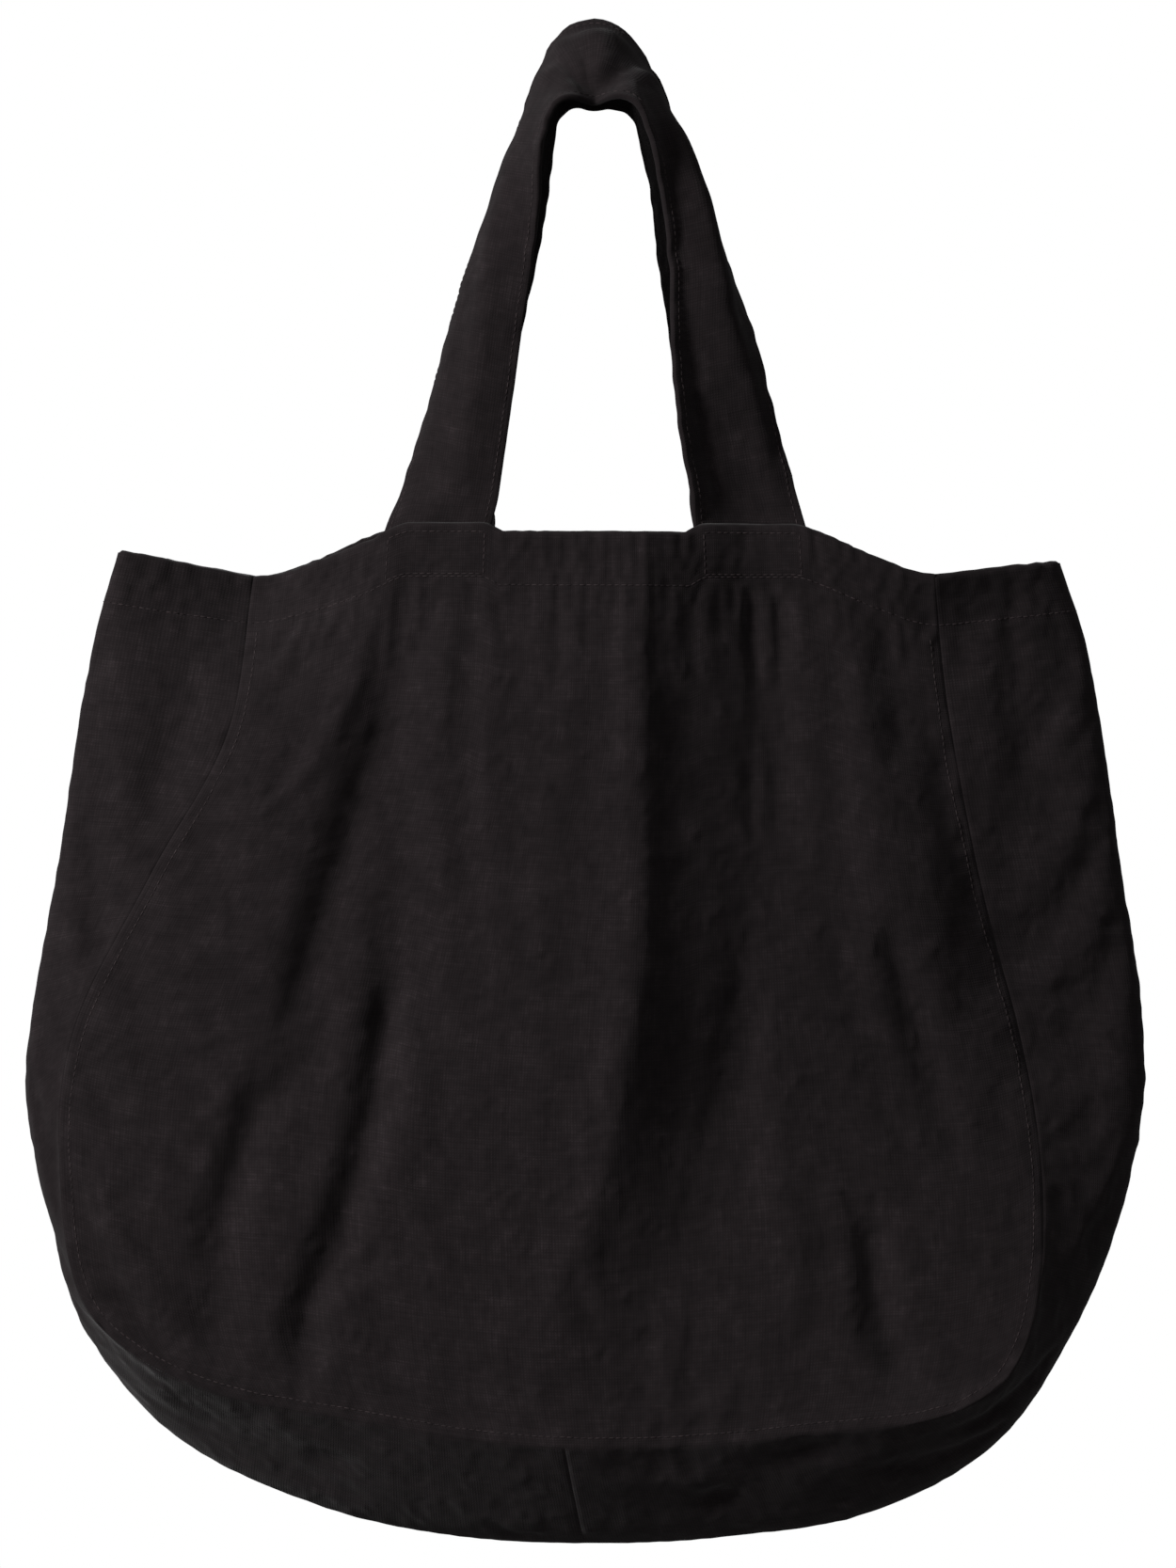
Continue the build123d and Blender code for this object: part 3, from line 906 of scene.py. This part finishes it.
def spots_along(points, normals):
    """Even stitch places on a row, each with the ways along it and out of the cloth."""
    run = run_along(points)
    row = run, points
    middles = np.arange(stitch_pitch / 2, run[-1], stitch_pitch)
    ahead = along(row, middles + stitch_length / 2) - along(row, middles - stitch_length / 2)
    return zip(along(row, middles), ahead, along((run, normals), middles))


def stitching(name, rows):
    """Adds one piece made of all the stitches along some rows of points and normals."""
    bm = bmesh.new()
    for points, normals in rows:
        for place, ahead, out in spots_along(points, normals):
            ahead = Vector(ahead).normalized()
            side = Vector(out).cross(ahead).normalized()
            turn = Matrix((side, ahead.cross(side), ahead)).transposed().to_4x4()
            size = Matrix.Diagonal((thread_width / 2, thread_height / 2, stitch_length / 2, 1))
            matrix = Matrix.Translation(place) @ turn @ size
            bmesh.ops.create_uvsphere(
                bm, u_segments=ball_sides, v_segments=ball_rings, radius=1, matrix=matrix)
    print(name, "has", len(bm.faces) // (ball_sides * ball_rings), "stitches")
    pieces[name] = finished(name + "_thread", bm)


# %% Stitch the hems and the boxes
hem_row = 23.5 * MM
row_margin = 2 * MM
box_drops = np.linspace(22.3, 3, 9) * MM
box_half = 22 * MM
box_columns = 15

for name, points in walls.items():
    patch = below_mouth(points, np.array([hem_row + row_margin, hem_row, hem_row - row_margin]))
    stitching(name.replace("_panel", "") + "_hem_stitching", [(patch[1], normals_of(patch)[1])])

for wall in ("front", "back"):
    rows = []
    for middle in strap_middles.values():
        columns = behind_strap(walls[wall + "_panel"], middle, box_half, box_columns)
        patch = below_mouth(columns, box_drops)
        out = normals_of(patch)
        rows += [(patch[end], out[end]) for end in (0, -1)]
        rows += [(patch[:, end], out[:, end]) for end in (0, -1)]
    stitching(wall + "_box_stitching", rows)

# %% Topstitch the seams
topstitch_inset = 5 * MM

for wall in ("front", "back"):
    seam_points, ways_in = seam_of(walls[wall + "_panel"])
    row = on_panel(wall, seam_points + ways_in * topstitch_inset)
    stitching(wall + "_seam_topstitching", [row])

# %% Stitch the edges of the straps
edge_inset = 3.5 * MM


def across_strap(points, place):
    """A lengthwise row of a strap at a distance from its inner edge."""
    spot = place / strap_width * (strap_columns - 1)
    low = int(spot)
    return points[low] * (low + 1 - spot) + points[low + 1] * (spot - low)


for handle, points in straps.items():
    out = normals_of(points)
    for row_name, place in (("inner", edge_inset), ("outer", strap_width - edge_inset)):
        row, row_out = across_strap(points, place), across_strap(out, place)
        faces = [(row + row_out * way * strap_thickness / 2, row_out * way) for way in (1, -1)]
        stitching(f"{handle}_{row_name}_stitching", faces)

# %% [markdown]
# ## Washed canvas
# The cloth is cotton canvas, dyed near black, sewn and then washed. Dye sits unevenly in the yarn, so single
# thick yarns, called slubs, show lighter or darker along the weave. Washing lifts a dusty nap that catches
# light at grazing angles, which is the shader's sheen. The weave follows the flat cut through the UV map.


# %% Build materials from nodes
def linear(hex_colour):
    """An sRGB hex colour as the linear colour that a shader works in."""
    channels = [int(hex_colour[place : place + 2], 16) / 255 for place in (1, 3, 5)]
    return [c / 12.92 if c <= 0.04045 else ((c + 0.055) / 1.055) ** 2.4 for c in channels] + [1]


def feed(material, node, inputs):
    """Sets or links the inputs of a node."""
    for socket, value in inputs.items():
        if isinstance(value, bpy.types.NodeSocket):
            material.node_tree.links.new(value, node.inputs[socket])
        else:
            node.inputs[socket].default_value = value


def add_node(material, kind, inputs=None, **settings):
    """Adds a node to a material or world, with its settings and inputs."""
    made = material.node_tree.nodes.new(kind)
    for name, value in settings.items():
        setattr(made, name, value)
    feed(material, made, inputs or {})
    return made


def new_material(name):
    """An empty material and its main shader."""
    material = bpy.data.materials.new(name)
    material.use_nodes = True
    return material, material.node_tree.nodes["Principled BSDF"]


# %% Mix the canvas
# Real canvas has a yarn every 0.6 mm or so. That is finer than a pixel, so it is drawn at 1.2 mm to show
yarn_spacing = 1.2 * MM
slub_length = 16 * MM
slub_width = 1.3 * MM
mottle_size = 14 * MM
crease_size = 9 * MM
crease_depth = 1.2 * MM
yarn_depth = 0.35 * MM


def washed_canvas(name, deep, middle, dusty):
    """Canvas from three colours: the dye in the hollows, on most yarns, and on rubbed or thick yarns."""
    material, shader = new_material(name)
    flat = add_node(material, "ShaderNodeUVMap", uv_map="flat_cut").outputs["UV"]
    place = add_node(material, "ShaderNodeTexCoord").outputs["Object"]
    yarns = []
    for scale in ((1 / slub_width, 1 / slub_length, 1), (1 / slub_length, 1 / slub_width, 1)):
        stretched = add_node(material, "ShaderNodeMapping", {"Vector": flat, "Scale": scale})
        slub = {"Vector": stretched.outputs["Vector"], "Scale": 1.0, "Detail": 3.0, "Roughness": 0.6}
        yarns.append(add_node(material, "ShaderNodeTexNoise", slub).outputs["Fac"])
    slubs = add_node(material, "ShaderNodeMath", dict(enumerate(yarns)), operation="ADD").outputs[0]

    # The wave texture turns through 20 radians for each unit
    wave_scale = 2 * pi / 20 / yarn_spacing
    bands = {"Vector": flat, "Scale": wave_scale, "Distortion": 1.5, "Detail": 1.0, "Detail Scale": 0.4}
    waves = [add_node(material, "ShaderNodeTexWave", bands, bands_direction=way).outputs["Fac"]
             for way in ("X", "Y")]
    weave = add_node(material, "ShaderNodeMath", dict(enumerate(waves)), operation="MULTIPLY").outputs[0]
    mottle = add_node(
        material, "ShaderNodeTexNoise",
        {"Vector": place, "Scale": 1 / mottle_size, "Detail": 5.0, "Roughness": 0.75},
    ).outputs["Fac"]
    creases = add_node(
        material, "ShaderNodeTexNoise",
        {"Vector": place, "Scale": 1 / crease_size, "Detail": 3.0, "Roughness": 0.5},
        noise_type="RIDGED_MULTIFRACTAL",
    ).outputs["Fac"]

    tone = 0.0
    for part, weight in ((slubs, 0.26), (mottle, 0.5), (weave, 0.1)):
        share = {0: part, 1: weight, 2: tone}
        tone = add_node(material, "ShaderNodeMath", share, operation="MULTIPLY_ADD").outputs[0]
    ramp = add_node(material, "ShaderNodeValToRGB", {"Fac": tone})
    stops = ramp.color_ramp.elements
    stops[0].position, stops[1].position = 0.34, 0.82
    stops[0].color, stops[1].color = linear(deep), linear(dusty)
    stops.new(0.58).color = linear(middle)

    rise = {0: slubs, 1: 0.8, 2: weave}
    height = add_node(material, "ShaderNodeMath", rise, operation="MULTIPLY_ADD").outputs[0]
    bump = {"Height": creases, "Strength": 0.8, "Distance": crease_depth}
    crumple = add_node(material, "ShaderNodeBump", bump).outputs["Normal"]
    bump = {"Height": height, "Strength": 0.3, "Distance": yarn_depth, "Normal": crumple}
    bump = add_node(material, "ShaderNodeBump", bump).outputs["Normal"]
    feed(material, shader, {
        "Base Color": ramp.outputs["Color"], "Normal": bump, "Roughness": 0.92,
        "Specular IOR Level": 0.0, "Sheen Weight": 0.06, "Sheen Roughness": 0.5,
    })
    return material


body_canvas = washed_canvas("washed_cotton_canvas", "#171415", "#211d1e", "#332d2f")
strap_canvas = washed_canvas("washed_cotton_canvas_strap", "#171415", "#201c1d", "#312b2d")

# %% [markdown]
# ## Thread
# The thread is spun polyester cotton of nearly the cloth's own colour. It takes the dye less deeply than
# the canvas, so the rows read as slightly lighter lines.

# %% Mix the thread
thread, thread_shader = new_material("spun_polycotton_thread")
fleck_size = 5 * MM
thread_place = add_node(thread, "ShaderNodeTexCoord").outputs["Object"]
flecks = {"Vector": thread_place, "Scale": 1 / fleck_size, "Detail": 2.0}
flecks = add_node(thread, "ShaderNodeTexNoise", flecks).outputs["Fac"]
thread_ramp = add_node(thread, "ShaderNodeValToRGB", {"Fac": flecks})
thread_stops = thread_ramp.color_ramp.elements
thread_stops[0].position, thread_stops[1].position = 0.35, 0.7
thread_stops[0].color, thread_stops[1].color = linear("#292526"), linear("#3c3536")
thread_colour = thread_ramp.outputs["Color"]
feed(thread, thread_shader, {"Base Color": thread_colour, "Roughness": 0.9, "Specular IOR Level": 0.0})

# %% [markdown]
# ## Join the bag's pieces to the frame
# Each piece stands for the solid of the same name, which is hidden, and takes canvas, strap canvas or
# thread. The pieces of the bag move with its body; the handles and their stitches keep their places.

for name, piece in pieces.items():
    if "stitching" in name:
        finish, slot_name = thread, "thread"
    elif "handle" in name or "strap" in name:
        finish, slot_name = strap_canvas, "strap_canvas"
    else:
        finish, slot_name = body_canvas, "canvas"
    piece.data.materials.append(finish)
    body = next((handle for handle in ("front_handle", "back_handle") if name.startswith(handle)), "bag")
    if body == "bag":
        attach(piece, "bag")
    else:
        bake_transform(piece)
    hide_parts(name)

# %% [markdown]

# %% [markdown]
# ## The studio
# A soft lamp stands to the front and left, as in the picture, where the right side of the bag lies in
# shade. The world fills in the shade, less so from below and from the right, and shows itself to the camera
# as plain white. The floor lies well below the bag.

# %% Fill in the shade
fill_level = 0.43
fill_below = 0.1
fill_left = 1.15
fill_right = 0.6
studio = bpy.data.worlds.new("studio")
studio.use_nodes = True
bpy.context.scene.world = studio
rays = add_node(studio, "ShaderNodeLightPath").outputs
seen = rays["Is Camera Ray"]
for ray in ("Is Glossy Ray", "Is Transmission Ray"):
    seen = add_node(studio, "ShaderNodeMath", {0: seen, 1: rays[ray]}, operation="MAXIMUM").outputs[0]
sky = add_node(studio, "ShaderNodeTexCoord").outputs["Generated"]
sky = add_node(studio, "ShaderNodeSeparateXYZ", {"Vector": sky}).outputs
up = {"Value": sky["Z"], "From Min": -0.7, "From Max": 0.2, "To Min": fill_below, "To Max": fill_level}
up = add_node(studio, "ShaderNodeMapRange", up).outputs["Result"]
side = {"Value": sky["X"], "From Min": -0.6, "From Max": 0.6, "To Min": fill_left, "To Max": fill_right}
side = add_node(studio, "ShaderNodeMapRange", side).outputs["Result"]
fill = add_node(studio, "ShaderNodeMath", {0: up, 1: side}, operation="MULTIPLY").outputs[0]
level = {"Value": seen, "To Min": fill, "To Max": 1.0}
level = add_node(studio, "ShaderNodeMapRange", level).outputs["Result"]
feed(studio, studio.node_tree.nodes["Background"], {"Color": (1, 1, 1, 1), "Strength": level})

# %% Light the bag
lamp_place = Vector((-2.25, -1.72, 0.72))
lamp_target = Vector((0, 0, -0.35))
lamp = bpy.data.lights.new("key_lamp", "AREA")
lamp.shape = "DISK"
lamp.size = 0.7
lamp.energy = 114
holder = bpy.data.objects.new("key_lamp", lamp)
holder.location = lamp_place
holder.rotation_euler = (lamp_target - lamp_place).to_track_quat("-Z", "Y").to_euler()
bpy.context.collection.objects.link(holder)

# %% Lay the floor
floor_depth = 2.8
floor_radius = 1.0
bm = bmesh.new()
bmesh.ops.create_circle(bm, cap_ends=True, segments=96, radius=floor_radius)
bmesh.ops.translate(bm, verts=bm.verts, vec=(0, 0, -floor_depth))
floor = finished("floor", bm)
pale, pale_shader = new_material("matt_pale_floor")
feed(pale, pale_shader, {"Base Color": linear("#f1f0ee"), "Roughness": 0.95})
floor.data.materials.append(pale)
bpy.context.scene.view_settings.view_transform = "Standard"
